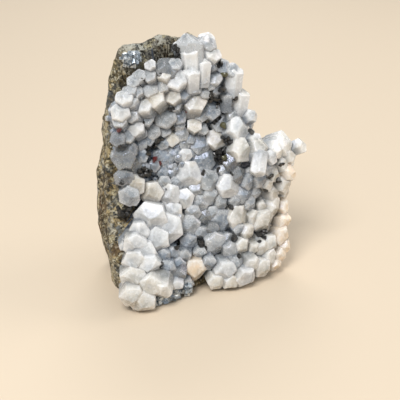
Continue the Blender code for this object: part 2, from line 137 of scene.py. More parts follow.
# Quartz crystals by the look of the stone: across, up, width
CRYSTALS = {
    "white": [
        (13, 86.5, 6), (-2.5, 79, 7.5), (-22.5, 75.5, 6.5), (-15.5, 71.5, 7), (-24.5, 70.5, 7),
        (22.5, 57.5, 9.5), (26.5, 53.5, 4.5), (27.5, 61.5, 5), (28.3, 48, 7), (33, 46, 6),
        (-0.8, 42.3, 10.5), (15, 37, 9.5), (-9.7, 36.3, 9), (-3.7, 34.3, 7.5), (-9, 31.3, 6.5),
        (-19, 30, 12), (-13, 25.7, 11.5), (-18, 22.7, 9.5), (-24, 26.5, 7.5), (-26.5, 23, 8.5),
        (-24.5, 19.5, 10), (-28.3, 17.5, 9), (-23.8, 14.7, 10), (-14, 5.7, 5.5), (7, 7.7, 8.5),
        (14.7, 4, 8.5), (-19.5, 64, 7), (-11.5, 85, 4), (-0.2, 49.5, 5),
    ],
    "cream": [
        (-6.8, 82.4, 6), (4.8, 71, 8.5), (28.4, 51.0, 7.5), (-4.5, 73.5, 6.5), (-11.5, 73.5, 8),
        (-4.8, 56.5, 6), (4.3, 60.5, 5.5), (40.3, 41.5, 6.5), (21.5, 50.5, 9), (-30, 12, 9.5),
        (-25.5, 9, 10), (-31.5, 6.5, 9), (-28.5, 3.5, 9.5), (-21.5, 6.7, 8.5), (16, 15.3, 6),
        (3, 4, 6.5), (9, 2.7, 6.5), (29.5, 12, 7.5), (24.7, 12, 6.5), (22.7, 5.7, 7.5), (28, 7, 7.5),
        (18.3, 8, 7), (43, 44, 6.5),
    ],
    "peach": [
        (38.3, 18.5, 7), (36.5, 12.3, 8.5), (37, 8.7, 5.5), (33.5, 6, 6.5), (30.5, 3.3, 5),
        (-4.5, 8.3, 9), (41.8, 37.5, 7), (38.8, 23.7, 5.5),
    ],
    "beige": [
        (13.3, 54.5, 8), (40.3, 33, 8), (35, 30.5, 6.5), (35, 38.5, 6.5), (31.5, 35.3, 5.5),
        (-22.7, 43, 8.5), (-16.5, 38, 8.5), (18.3, 24.3, 10), (20.7, 18.3, 6.5), (28.5, 19.7, 10),
        (34.5, 24.5, 8), (29.3, 25.7, 5.5), (24.7, 22.5, 6), (21, 12.7, 5),
    ],
    "grey": [
        (12.8, 79, 6), (11, 76, 4.5), (21.5, 79.5, 6), (-3, 70, 4.5), (-14, 66, 5.5), (-7, 65.5, 8.5),
        (-7.5, 60.5, 5.5), (-22.8, 61.5, 6), (-0.5, 57.5, 5.5), (-1.5, 61, 4.5), (0.5, 53.5, 4.5),
        (17, 62, 5.5), (21.5, 63, 6), (8, 59, 4.5), (15.3, 59, 6), (19.3, 54, 4), (7.5, 64.5, 5),
        (32, 42, 6), (28, 38, 6.5), (27.3, 32.3, 5), (14, 43.3, 4.5), (7.8, 40, 8), (-25.5, 39, 7.5),
        (-23.7, 38.3, 5), (-10, 41, 5), (-5.5, 40, 5.5), (12.5, 31, 6.5), (7.3, 27.5, 5.5),
        (24.3, 28.3, 6), (-3.7, 24.5, 8.5), (-8, 28, 5), (16.8, 30.3, 5), (-8.3, 14.5, 5),
        (-1.3, 14.3, 5), (0.8, 21, 5), (10.7, 18.3, 4.5), (16.3, 20, 5), (1.3, 10.3, 6),
        (12.3, 9.3, 6.5), (-8.5, 4.3, 5),
    ],
    # Many of these stand in the left hollow: their darker tint is partly their own tone, partly painted
    # shade.
    "blue grey": [
        (5.2, 77, 6), (0, 74.5, 5), (-1, 65, 6), (-17.5, 57, 5), (-14, 57.3, 4.5), (-17.5, 52, 5),
        (-9.5, 51.5, 5.5), (-7.5, 48.3, 5), (-4.3, 50.5, 4.5), (-13, 47, 4.5), (-10, 44.7, 4.5),
        (-16.5, 47.5, 4), (-8.5, 55, 5), (11.5, 66, 7.5), (2.8, 56, 4), (7.5, 47, 9), (6.5, 52.7, 7.5),
        (21.5, 32.7, 7.5), (23.5, 37.5, 6), (10.5, 24, 8.5), (-17, 16.7, 5.5), (-16.5, 12.7, 6.5),
        (-12.3, 16.7, 5.5), (-5, 18, 6.5), (-11.3, 12.6, 6), (-16, 60.3, 3), (17.8, 81.5, 5.5),
    ],
    "clear": [
        (-5.5, 84.5, 8.5), (15, 86.5, 4), (12.5, 83, 4), (13, 74, 5), (-26.8, 61, 5.5), (-22.5, 55.5, 6),
        (-25.5, 53, 8), (-22.3, 49.3, 8), (-26.8, 46.5, 6), (-24.5, 46, 4.5), (17.5, 46.3, 7.5),
        (19.5, 41.3, 6), (-12.3, 9, 5.5), (3.5, 26.7, 5), (5.3, 21.7, 5.5),
    ],
    "pale": [
        (-16.5, 82.5, 5), (-12.5, 81.5, 5), (-18.5, 80.5, 4.5), (-20.8, 74, 5.5), (-17.5, 76.5, 4.5),
        (-20.5, 78, 5), (-8.5, 78, 6), (-12.8, 77.5, 6.5), (-25.5, 67.5, 5), (-21, 69, 6),
        (2.7, 36.5, 6.5), (2.5, 31.5, 6.5), (7.3, 33, 6.5), (-1.2, 28.7, 6), (8.8, 73.5, 5),
        (-2.5, 85.5, 5), (8.5, 80, 6), (-12, 60, 6), (12, 90.5, 6), (5.7, 16.5, 9), (11, 14, 6.5),
    ],
    # The bright look is painted light: a lighter tint where strong light falls on the right point.
    "bright": [(48.3, 46.5, 6), (41.3, 48.8, 9.5), (36.5, 47.5, 7)],
}
# Crystals round the right side, behind the face: across, up, width, distance behind the face
SIDE_CRYSTALS = [
    (44.5, 40.5, 6, 4), (43, 34.5, 6.5, 4), (41, 28.5, 6, 3), (35, 10, 7, 8), (36.5, 19, 7.5, 9),
    (37, 28, 7, 10), (40, 38, 7.5, 9), (40, 46, 8, 8), (30.5, 56, 7, 9), (27.5, 64, 6.5, 8),
    (25, 72, 6.5, 7), (20.5, 80, 6.5, 7), (14, 89, 6.5, 7),
]
# Long crystals that lie along the face: the tip's across, up and distance behind the face, then the
# width, length, way and look
LONG_CRYSTALS = [
    (6.0, 93.6, 3.2, 10.5, 19, (0.04, 0.20, 0.98), "pale"),
    (4.2, 89.6, 2.2, 7.5, 13, (-0.06, 0.14, 0.98), "white"),
    (10.4, 92.0, 3.4, 6.5, 15, (0.12, 0.18, 0.97), "pale"),
    (8.8, 85.6, 1.2, 6.0, 11, (0.10, 0.05, 0.98), "white"),
    (3.6, 83.4, 0.6, 6.5, 10, (-0.06, -0.10, 0.98), "white"),
    (22.6, 79.6, 2.0, 7.0, 12, (0.16, 0.14, 0.97), "white"),
    (25.3, 71.0, 2.4, 7.0, 11, (0.20, 0.10, 0.96), "white"),
    (18.4, 71.0, 1.6, 5.0, 8, (0.05, 0.10, 0.98), "pale"),
    (23.6, 41.0, -1.6, 6.0, 10, (-0.38, -0.42, -0.82), "white"),
]
TINTS = {
    "white": (0.67, 0.68, 0.68),
    "cream": (0.71, 0.68, 0.61),
    "peach": (0.90, 0.74, 0.55),
    "beige": (0.60, 0.56, 0.48),
    "grey": (0.58, 0.62, 0.65),
    "blue grey": (0.42, 0.485, 0.56),
    "clear": (0.74, 0.79, 0.83),
    "pale": (0.70, 0.73, 0.75),
    # Painted light: a lighter tint for the brightly lit right point.
    "bright": (0.88, 0.86, 0.81),
    # The bed's dark tint is painted shade in the gaps between the crystals.
    "bed": (0.22, 0.25, 0.28),
}
# How far a crystal of each look stands back from the rest, and how clear its stone is
SINK = {
    "white": -0.5, "cream": -0.4, "peach": -0.2, "beige": 0.1, "grey": 0.7, "blue grey": 0.9,
    "clear": 0.6, "pale": 0.3, "bright": -0.3,
}
CLARITY = {
    "white": 0, "cream": 0, "peach": 0, "beige": 0, "grey": 1, "blue grey": 1, "clear": 2, "pale": 1,
    "bright": 0, "bed": 1,
}
TINT_UNEVEN = (0.90, 1.06)
BRIGHTEST_TINT = 0.95
LOOKS_ELSEWHERE = ["grey", "white", "blue grey", "clear"]
BED_DEPTH = 1.2  # the bed gets the painted shade of a crystal just past its foot
LONG_REACH = 1.6  # a long crystal's painted shade spreads over this many times its length

# The look that small crystals take near a place: across, up, radius, look
ZONES = {
    "lower left mass": (-22, 14, 13, "white"),
    "upper left": (-17, 79, 9, "pale"),
    "crown": (7, 86, 9, "white"),
    # In the hollows the small crystals take the darker blue grey look: partly their own tone, partly
    # painted shade.
    "left hollow": (-12, 52, 17, "blue grey"),
    "lower hollow": (-14, 13, 6, "blue grey"),
    # Painted light: the small crystals of the right point take the bright look.
    "right point": (45, 47, 7, "bright"),
    "right tip": (38, 14, 9, "peach"),
    "right foot": (26, 10, 12, "cream"),
    "right shoulder": (36, 46, 9, "cream"),
    "right flank": (36, 32, 8, "beige"),
}

# Dark sphalerite: across, up, size of each block; then the small single grains
SPHALERITE = {
    # Partly real dark grains, partly painted shade: these blocks are large enough to fill the crevice's
    # deep shade.
    "centre crevice": [
        (16.8, 52.0, 5.5), (14.5, 48.5, 5.5), (13.4, 44.5, 5.0), (18.2, 54.0, 4.0), (12.0, 46.6, 4.0),
    ],
    "under blue crystal": [(12.2, 61.2, 5.5), (15.0, 59.3, 3.8)],
    "upper right": [(12.8, 69.8, 4.6), (15.6, 67.6, 4.4)],
    "crown left": [(-0.6, 88.6, 3.4), (0.2, 86.6, 3.2)],
    "crown right": [(14.8, 83.6, 3.4), (15.4, 81.6, 3.0)],
    "hollow": [(-12.2, 54.2, 4.8), (-9.6, 54.6, 3.6)],
    "left foot": [(-24.6, 35.8, 5.4), (-26.8, 32.2, 5.4), (-22.8, 38.6, 4.0)],
    "hollow foot": [(-18.4, 45.4, 4.4), (-15.6, 44.6, 4.0)],
    "lower middle": [(1.2, 17.0, 4.2), (0.2, 18.8, 3.4)],
    "lower right": [(25.0, 15.2, 4.4), (27.2, 16.6, 3.4)],
}
SMALL_GRAINS = {
    "black": [
        (-14.8, 80.5, 2.2), (-8.2, 79.5, 2.0), (0, 78.5, 2.4), (1.5, 75.2, 2.2), (15.5, 72.5, 3.0),
        (11, 71, 2.6), (19, 65, 2.2), (21.5, 68.5, 2.0), (-12.5, 67.5, 2.0), (-15.5, 64, 1.8),
        (-3.5, 68, 2.2), (-3.5, 60, 1.8), (18, 56, 2.6), (26.0, 55, 2.6), (6, 43.8, 2.0),
        (-26, 57.5, 2.0), (-16.5, 52, 2.0), (-25, 46, 1.8), (-10, 40, 1.8), (-18, 14.5, 2.2),
        (-11, 18.5, 2.2), (12.5, 18.5, 2.6), (15.2, 29.6, 2.0), (12.5, 11.5, 2.0), (37.6, 41.4, 2.6),
        (34.5, 35.4, 2.6), (29, 33.4, 2.2), (15.3, 42.2, 2.4), (31.6, 38.6, 2.2), (23.5, 14, 2.0),
    ],
    "red": [
        (-25, 63.5, 2.4), (-20.0, 58.8, 1.5), (3.5, 65, 1.8), (-12, 49.5, 2.5), (-9.4, 47.6, 1.4),
        (1.8, 65.6, 1.3),
    ],
    "olive": [(17, 77.8, 2.4), (16, 47, 2.2), (15, 57, 2.2), (27.5, 6, 1.8)],
}
GRAIN_DEPTH = 1.6  # how far a clump's middle lies behind the crystal tips
DEEPER = {"left foot": 4.0, "crown left": 1.2, "red": 0.4}  # and how much further in these
SMALL_GRAIN_DEPTH = 0.1
SHARDS = 9  # small grains that stand for one dark block
SHARD_SPREAD = 0.42  # of the block's size
SHARD_SQUASH = np.array((1, 0.45, 1))
SHARD_SIZES = (0.28, 0.52)
GRAIN_GRID = (5, 8)
GRAIN_FLATS = 7
GRAIN_REACHES = (0.55, 0.95)
GRAIN_LONGEST = 1.5
GRAIN_GRAZING = 0.05  # least (flat . direction) that is divided by
GRAIN_OUTSIDE = 0.15  # how far a single grain stands out of its crystal's rim, as a part of its size
GRAIN_SEED = 21
GRAIN_TINTS = {"black": (0.012, 0.011, 0.010), "red": (0.10, 0.016, 0.016), "olive": (0.07, 0.065, 0.025)}

# Rust on the rock, and pale crushed grains along its top: across, back, up, radius
RUST = [(-33, 8, 32, 6), (-34, 9, 24, 5), (-30, 6, 66, 3), (-26, 10, 84, 4), (-33, 5, 14, 4)]
PALE = [(-15, 12, 89, 12), (-6, 10, 90, 12)]
SPOT_CORE = 0.35  # the inner part of such a spot, where it is full
SWAY_FINENESS = 2.5  # how much finer than the grains of rock the sway of their edges is

# Galena: middle of each group, its size, and how many cubes
GALENA = {
    "top corner": ((-16.6, 12.0, 86.6), 4.4, 60),
    "front left": ((-19.2, -18.6, 2.0), 3.2, 30),
    "front middle": ((-14.0, -18.2, 2.6), 3.6, 34),
    "front right": ((-8.2, -18.0, 3.0), 3.2, 28),
}
CUBE_GRID = (2, 4)
CUBE_SIDES = (0.7, 2.2)
CUBE_SPREAD = (0.1, 0.85)
CUBE_SQUASH = np.array((1.0, 0.40, 0.85))  # a group is flatter than it is wide
CUBE_TILT = 0.5  # radians
CUBE_SEED = 33

# Camera: the turn and height of the photograph's view, the point it looks at and how far from
VIEW_TURN = math.radians(-25)
VIEW_HEIGHT = math.radians(27)
VIEW_DISTANCE = 350.0
VIEW_TARGET = np.array((1.06, -8.99, 34.88))
LENS = 84
SENSOR = 36

# Lights: place and size in metres, power as a part of the key light's, tint
LIGHTS = {
    "key": ((-0.30, -0.22, 0.60), 0.34, 1.0, (1.0, 0.99, 0.97)),
    "fill": ((0.60, -0.12, 0.30), 0.40, 0.38, (1.0, 0.95, 0.88)),
    "back": ((0.20, 0.50, 0.50), 0.35, 0.40, (1.0, 0.97, 0.92)),
}
LIGHTS_AIM = (0, 0, 0.04)
ROOM_TINT = (0.90, 0.95, 1.0, 1.0)
ROOM_STRENGTH = 0.50
FLOOR_HALF = 2700.0


def to_metres(points):
    """Points in millimetres as metres from the origin."""
    return (points - MIDDLE) * MM


def to_millimetres(points):
    """Points in metres back in the millimetres that this file is written in."""
    return points / MM + MIDDLE


def mesh_object(name, points, faces):
    """An object of that name whose mesh has these points, in millimetres, and faces."""
    mesh = bpy.data.meshes.new(name)
    mesh.from_pydata(to_metres(points).tolist(), [], faces)
    mesh.update()
    return bpy.data.objects.new(name, mesh)


def corners(mesh):
    """The mesh's points as an array, in millimetres."""
    flat = np.empty(len(mesh.vertices) * 3)
    mesh.vertices.foreach_get("co", flat)
    return to_millimetres(flat.reshape(-1, 3))


def add_values(mesh, name, kind, domain, values):
    """Store an array on the mesh under a name."""
    field = {"INT": "value", "FLOAT": "value", "FLOAT_COLOR": "color"}[kind]
    layer = mesh.attributes.get(name) or mesh.attributes.new(name, kind, domain)
    layer.data.foreach_set(field, np.ascontiguousarray(values).ravel())


def number_faces(piece, number):
    """Give a shape's faces its number, which they keep when shapes are joined."""
    numbers = np.full(len(piece.data.polygons), number, np.int32)
    add_values(piece.data, "shape", "INT", "FACE", numbers)


def read_numbers(mesh):
    """The number of the shape that each of the mesh's faces comes from."""
    numbers = np.empty(len(mesh.polygons), np.int32)
    mesh.attributes["shape"].data.foreach_get("value", numbers)
    return numbers


def bake(piece):
    """Replace a piece's mesh with what its modifiers make of it."""
    bpy.context.view_layer.update()
    evaluated = piece.evaluated_get(bpy.context.evaluated_depsgraph_get())
    mesh = bpy.data.meshes.new_from_object(evaluated)
    mesh.name = piece.name
    mesh.materials.clear()
    piece.modifiers.clear()
    piece.data = mesh


def combine(piece, operation, others):
    """Join other closed shapes to a piece, or cut it by them, and remove them."""
    group = bpy.data.collections.new("operands")
    bpy.context.scene.collection.children.link(group)
    for other in others:
        group.objects.link(other)
    solver = piece.modifiers.new("Solid", "BOOLEAN")
    solver.operation = operation
    solver.solver = "MANIFOLD"
    solver.operand_type = "COLLECTION"
    solver.collection = group
    bake(piece)
    for other in others:
        bpy.data.objects.remove(other)
    bpy.data.collections.remove(group)


def keep_bodies(piece, least):
    """Drop every loose body with fewer corners than that.

    Each corner starts with its own number and takes the lowest of its neighbours' until nothing
    changes, so that all the corners of one body end with the same number.
    """
    mesh = piece.data
    ends = np.empty(len(mesh.edges) * 2, np.int32)
    mesh.edges.foreach_get("vertices", ends)
    first, second = ends.reshape(-1, 2).T
    body = np.arange(len(mesh.vertices))
    settled = False
    while not settled:
        before = body
        lowest = np.minimum(before[first], before[second])
        body = before.copy()
        np.minimum.at(body, first, lowest)
        np.minimum.at(body, second, lowest)
        body = body[body]
        settled = (body == before).all()
    small = np.bincount(body, minlength=len(body))[body] < least
    shape = bmesh.new()
    shape.from_mesh(mesh)
    every = np.array(shape.verts, dtype=object)
    bmesh.ops.delete(shape, geom=every[small].tolist(), context="VERTS")
    shape.to_mesh(mesh)
    shape.free()


def finish_piece(piece, body, nodes):
    """Show a finished piece on its body, and hide the solids that it stands for."""
    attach(piece, body)
    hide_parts(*nodes)


def unit(vectors):
    """Vectors made one long."""
    return vectors / np.linalg.norm(vectors, axis=-1, keepdims=True)


def face_y(across, up):
    """Y of the tips: a leaning plane less a round swell exp(-(distance / radius)^2) at each place."""
    y = FACE_FOOT + FACE_LEAN * up
    for swell_across, swell_up, radius, height in SWELLS.values():
        away = (across - swell_across) ** 2 + (up - swell_up) ** 2
        y = y - height * np.exp(-away / radius**2)
    return y


def quartz_cover(points):
    """Thickness of the quartz bed: its slope times the way inside the nearest edge, up to its depth."""
    columns = []
    for direction, place in CRUST_EDGES.values():
        columns.append((points - np.array(place)) @ unit(np.array(direction)))
    return np.clip(-BED_SLOPE * np.stack(columns, axis=1).max(axis=1), -BED, BED)


def ripple(points, size, seed):
    """Uneven heights, about -1 to 1: sines in random directions, each octave half as long and high."""
    chance = np.random.default_rng(seed)
    total = np.zeros(len(points))
    for octave in range(3):
        waves = unit(chance.normal(size=(WAVES, 3))) * (2 * np.pi * 2**octave / size)
        phases = chance.uniform(0, 2 * np.pi, WAVES)
        total += np.sin(points @ waves.T + phases).mean(axis=1) * WAVE_HEIGHT / 2**octave
    return total


def pebbles(points, size, seed):
    """Heights of rounded grains, 0 to 1: 1 - (distance to the nearest jittered point / size)^2."""
    cell = np.floor(points / size)
    nearest = np.full(len(points), np.inf)
    for step in np.ndindex(3, 3, 3):
        corner = cell + np.array(step) - 1
        mixed = np.sin(corner @ SCATTER + seed)
        spot = (corner + (mixed * SCATTER_STRETCH) % 1) * size
        nearest = np.minimum(nearest, ((points - spot) ** 2).sum(axis=1) / size**2)
    return np.clip(1 - nearest, 0, 1)


def ball(rings, columns):
    """Directions (sin a cos b, sin a sin b, cos a) on a grid of rings and columns, then the two poles."""
    down = np.linspace(0, np.pi, rings + 2)[1:-1, None]
    round_ = np.linspace(0, 2 * np.pi, columns, endpoint=False)[None, :]
    level = np.cos(down) + 0 * round_
    grid = np.stack([np.sin(down) * np.cos(round_), np.sin(down) * np.sin(round_), level], axis=-1)
    return np.vstack([grid.reshape(-1, 3), [(0, 0, 1), (0, 0, -1)]])


def skin(rings, columns):
    """Faces of a closed grid: quads between rings, which run downwards, and a fan at each pole."""
    index = np.arange(rings * columns).reshape(rings, columns)
    beside = np.roll(index, -1, axis=1)
    quads = np.stack([index[:-1], index[1:], beside[1:], beside[:-1]], axis=-1).reshape(-1, 4)
    top = np.stack([np.full(columns, rings * columns), index[0], beside[0]], axis=-1)
    foot = np.stack([np.full(columns, rings * columns + 1), beside[-1], index[-1]], axis=-1)
    return quads.tolist() + top.tolist() + foot.tolist()


def growth_directions(across, up, chance):
    """Ways the crystals point: fanned out by their place on the face, with some splay."""
    sideways = np.clip((across - FAN_MIDDLE[0]) / FAN_REACH[0], *FAN_SIDEWAYS)
    upwards = np.clip((up - FAN_MIDDLE[1]) / FAN_REACH[1], *FAN_UPWARDS)
    forwards = -np.sqrt(np.maximum(LEAST_FORWARD, 1 - sideways**2 - upwards**2))
    splay = chance.normal(0, DIRECTION_SPLAY, (len(across), 3))
    return unit(np.stack([sideways, forwards, upwards], axis=1) + splay)


def crystal_points(tips, directions, widths, lengths, chance):
    """Points of many quartz crystals: rings in the head, at its shoulder and at the foot, and two poles.

    A crystal is a six-sided shaft under six planes, each as high as the tip - slope * (distance from
    the axis along the plane's own direction). Three planes meet in the tip, and the three between
    them stand higher by step, so their faces are smaller. Columns stand at the shaft's corners and at
    both ends of each small face's foot.
    """
    count = len(tips)
    apothem = widths / 2
    slope = np.tan(np.radians(chance.uniform(*TIP_SLOPES, count)))
    step = chance.uniform(*SMALL_FACE_STEPS, count)
    spread = np.arctan((0.5 - step) / 0.866)  # divided by the cosine of 30 degrees
    angle = np.empty((count, 3, 4))
    angle[:, :, 0] = math.radians(30)
    angle[:, :, 1] = math.radians(60) - spread[:, None]
    angle[:, :, 2] = math.radians(60) + spread[:, None]
    angle[:, :, 3] = math.radians(90)
    angle += np.radians(np.arange(3) * 120)[None, :, None]
    angle = angle.reshape(count, CRYSTAL_COLUMNS)
    drop = slope * apothem
    small = np.tile([False, True, True, False], 3)
    shoulder = np.where(small, (step - 1)[:, None], -1.0) * drop[:, None]
    reach = apothem[:, None] / np.where(small, np.cos(spread)[:, None], math.cos(math.pi / 6))
    nudge = np.radians(np.tile([0, -SMALL_FACE_TOP, SMALL_FACE_TOP, 0], 3))
    head_angle = np.where(small, np.radians(np.repeat([60, 180, 300], 4)) + nudge, angle)
    head_reach = np.where(small, (2 * step * apothem)[:, None], HEAD_RING * reach)
    head_height = np.where(small, -step[:, None] * SMALL_FACE_WORN, -HEAD_RING) * drop[:, None]
    foot = -lengths[:, None] + 0 * shoulder
    angles = np.stack([head_angle, angle, angle], axis=1)
    reaches = np.stack([head_reach, reach, reach * FOOT_TAPER], axis=1)
    heights = np.stack([head_height, shoulder, foot], axis=1)
    local = np.stack([reaches * np.cos(angles), reaches * np.sin(angles), heights], axis=-1)
    local = local.reshape(count, -1, 3)
    poles = np.zeros((count, 2, 3))
    poles[:, 1, 2] = -lengths
    local = np.concatenate([local, poles], axis=1)
    lean = chance.uniform(-CRYSTAL_LEAN, CRYSTAL_LEAN, (count, 1, 2)) * widths[:, None, None]
    local[:, :, :2] += lean * np.clip(1 + local[:, :, 2:] / drop[:, None, None], 0, 1)
    side = unit(np.cross(directions, (0.0, 0.0, 1.0)))
    other = np.cross(directions, side)
    turn = chance.uniform(0, 2 * np.pi, count)[:, None]
    first = side * np.cos(turn) + other * np.sin(turn)
    second = np.cross(directions, first)
    axes = np.stack([first, second, directions], axis=1)
    return tips[:, None, :] + np.einsum("npk,nkx->npx", local, axes)


def spaced(points, sizes, taken, taken_sizes):
    """Which points to keep, in order, so that none is nearer to another than there is room for both."""
    kept = []
    places, radii = taken.copy(), taken_sizes.copy()
    for number, (point, size) in enumerate(zip(points, sizes)):
        if (((places - point) ** 2).sum(axis=1) > (ROOM * (radii + size)) ** 2).all():
            kept.append(number)
            places = np.vstack([places, point])
            radii = np.append(radii, size)
    return np.array(kept, int)


class Socket:
    """A number in a material: using it in an expression adds the Math nodes."""

    def __init__(self, finish, socket):
        self.finish = finish
        self.socket = socket

    def maths(self, operation, *terms):
        """What one Math node makes of these."""
        node = self.finish.node("ShaderNodeMath", {"operation": operation}, dict(enumerate(terms)))
        return Socket(self.finish, node.outputs[0])

    def __add__(self, other):
        return self.maths("ADD", self, other)

    def __radd__(self, other):
        return self.maths("ADD", other, self)

    def __sub__(self, other):
        return self.maths("SUBTRACT", self, other)

    def __rsub__(self, other):
        return self.maths("SUBTRACT", other, self)

    def __mul__(self, other):
        return self.maths("MULTIPLY", self, other)

    def __rmul__(self, other):
        return self.maths("MULTIPLY", other, self)

    def ramp(self, low, high):
        """0 below low, 1 above high, smooth between."""
        values = {0: self, 1: low, 2: high, 3: 0.0, 4: 1.0}
        node = self.finish.node("ShaderNodeMapRange", {"interpolation_type": "SMOOTHSTEP"}, values)
        return Socket(self.finish, node.outputs[0])


class Finish:
    """A material under construction."""

    def __init__(self, name):
        self.material = bpy.data.materials.new(name)
        self.material.use_nodes = True
        self.tree = self.material.node_tree
        self.shader = self.tree.nodes["Principled BSDF"]
        self.place = self.node("ShaderNodeTexCoord").outputs["Object"]

    def node(self, kind, settings=None, values=None):
        """A node of a type: its settings, which come first, then the values or links of its sockets."""
        made = self.tree.nodes.new(kind)
        for key, value in (settings or {}).items():
            setattr(made, key, value)
        for key, value in (values or {}).items():
            self.feed(made.inputs[key], value)
        return made

    def feed(self, socket, value):
        """Link or set one socket."""
        if isinstance(value, Socket):
            value = value.socket
        if isinstance(value, bpy.types.NodeSocket):
            self.tree.links.new(value, socket)
        else:
            socket.default_value = value

    def set(self, **values):
        """Values or links of the shader's own sockets, named with underscores for spaces."""
        for key, value in values.items():
            self.feed(self.shader.inputs[key.replace("_", " ")], value)

    def noise(self, size, detail=3.0, roughness=0.55):
        """Cloudy noise, 0 to 1, with clouds of that size in millimetres."""
        values = {"Vector": self.place, "Scale": 1 / (size * MM)}
        values |= {"Detail": detail, "Roughness": roughness}
        return Socket(self, self.node("ShaderNodeTexNoise", None, values).outputs["Fac"])

    def vector(self, operation, values):
        """A vector worked out from others."""
        return self.node("ShaderNodeVectorMath", {"operation": operation}, values).outputs[0]

    def cells(self, size, uneven=0.0):
        """Grains of that size in millimetres, with uneven edges: the distance to each, and its colour."""
        place = self.place
        if uneven:
            values = {"Vector": place, "Scale": SWAY_FINENESS / (size * MM), "Detail": 2.0}
            sway = self.node("ShaderNodeTexNoise", None, values).outputs["Color"]
            sway = self.vector("SUBTRACT", {0: sway, 1: (0.5, 0.5, 0.5)})
            sway = self.vector("SCALE", {0: sway, 3: uneven * size * MM})
            place = self.vector("ADD", {0: place, 1: sway})
        made = self.node("ShaderNodeTexVoronoi", None, {"Vector": place, "Scale": 1 / (size * MM)})
        return Socket(self, made.outputs["Distance"]), made.outputs["Color"]

    def part(self, tint, axis):
        """One of a random colour's three numbers."""
        return Socket(self, self.node("ShaderNodeSeparateColor", None, {0: tint}).outputs[axis])

    def mix(self, factor, first, second, blend="MIX"):
        """Two colours mixed, as strongly as factor says. The second is three numbers."""
        settings = {"data_type": "RGBA", "blend_type": blend}
        return self.node("ShaderNodeMix", settings, {0: factor, 6: first, 7: (*second, 1.0)}).outputs[2]

    def shade(self, factor, first, second):
        """One colour multiplied by another, as strongly as factor says."""
        return self.mix(factor, first, second, "MULTIPLY")

    def kept(self, name):
        """A number stored on the mesh."""
        return Socket(self, self.node("ShaderNodeAttribute", {"attribute_name": name}).outputs["Fac"])

    def kept_colour(self, name):
        """A colour stored on the mesh."""
        return self.node("ShaderNodeAttribute", {"attribute_name": name}).outputs["Color"]

    def bump(self, height, depth, strength=1.0):
        """Relief of that depth in millimetres."""
        values = {"Height": height, "Distance": depth * MM, "Strength": strength}
        self.feed(self.shader.inputs["Normal"], self.node("ShaderNodeBump", None, values).outputs[0])

    def near(self, across, back, up, radius):
        """1 close to a place and 0 beyond the radius."""
        values = {0: self.place, 1: tuple(to_metres(np.array((across, back, up))))}
        away = self.node("ShaderNodeVectorMath", {"operation": "DISTANCE"}, values).outputs["Value"]
        return 1 - Socket(self, away).ramp(radius * MM * SPOT_CORE, radius * MM)


def quartz_finish(name, clarity, settings):
    """Quartz in each crystal's colour, with cloudy veils, painted highlights on the edges of each head,
    painted shade in its middle and painted shade towards its foot.
    """
    finish = Finish(name)
    tint = finish.kept_colour("crystal_tint")
    depth = finish.kept("crystal_depth")
    rim = finish.kept("crystal_rim")
    veil = finish.noise(1.7, 4.0, 0.62).ramp(0.40, 0.64)
    flecks = finish.noise(0.40, 2.0, 0.7).ramp(0.52, 0.70)
    smoke = finish.noise(3.2, 3.0, 0.6).ramp(0.42, 0.62)
    mottle = finish.noise(1.1, 3.0, 0.65).ramp(0.36, 0.62)
    # Painted shade: each head darker towards its middle, where the darker inside would show through the
    # quartz.
    painted_centre_shade = (1 - rim.ramp(0.12, 0.78)) * (1 - depth.ramp(0.15, 0.45)) * (0.35 + mottle * 0.65)
    base = finish.shade(smoke * (0.45, 0.70, 0.80)[clarity], tint, (0.55, 0.58, 0.61))
    base = finish.mix(veil * (0.30, 0.36, 0.26)[clarity], base, (0.88, 0.89, 0.89))
    base = finish.mix(flecks * 0.14, base, (0.97, 0.97, 0.97))
    base = finish.shade(painted_centre_shade * (0.62, 0.70, 0.60)[clarity], base, (0.58, 0.59, 0.59))
    # Painted highlight: the outer edges of each head lighter, where light would catch the worn edges.
    painted_rim_highlight = rim.ramp(0.60, 0.98) * (1 - depth.ramp(0.3, 0.7))
    base = finish.mix(painted_rim_highlight * 0.42, base, (0.91, 0.91, 0.90))
    # Painted shade: each crystal darker towards its foot, and the bed darkest, where shade falls between
    # the crystals.
    base = finish.shade(depth.ramp(0.20, 0.90) * 0.88, base, (0.36, 0.39, 0.43))
    stain = finish.noise(8.0, 2.0).ramp(0.56, 0.72)
    base = finish.shade(stain * 0.30, base, (0.86, 0.76, 0.60))
    finish.set(
        Base_Color=base,
        Roughness=0.10 + veil * 0.22 + flecks * 0.10,
        IOR=1.544,
        Transmission_Weight=(0.05, 0.35, 0.70)[clarity],
        Subsurface_Weight=(0.80, 0.50, 0.0)[clarity],
        Subsurface_Scale=settings.glow * MM,
        Thin_Film_Thickness=settings.film,
        Thin_Film_IOR=1.62,
    )
    finish.shader.inputs["Subsurface Radius"].default_value = (1.0, 0.97, 0.94)
    growth = finish.noise(0.8, 3.0, 0.6) * 0.6 + finish.noise(0.3, 2.0) * 0.4
    finish.bump(growth, (0.34, 0.22, 0.16)[clarity], 0.6)
    return finish.material


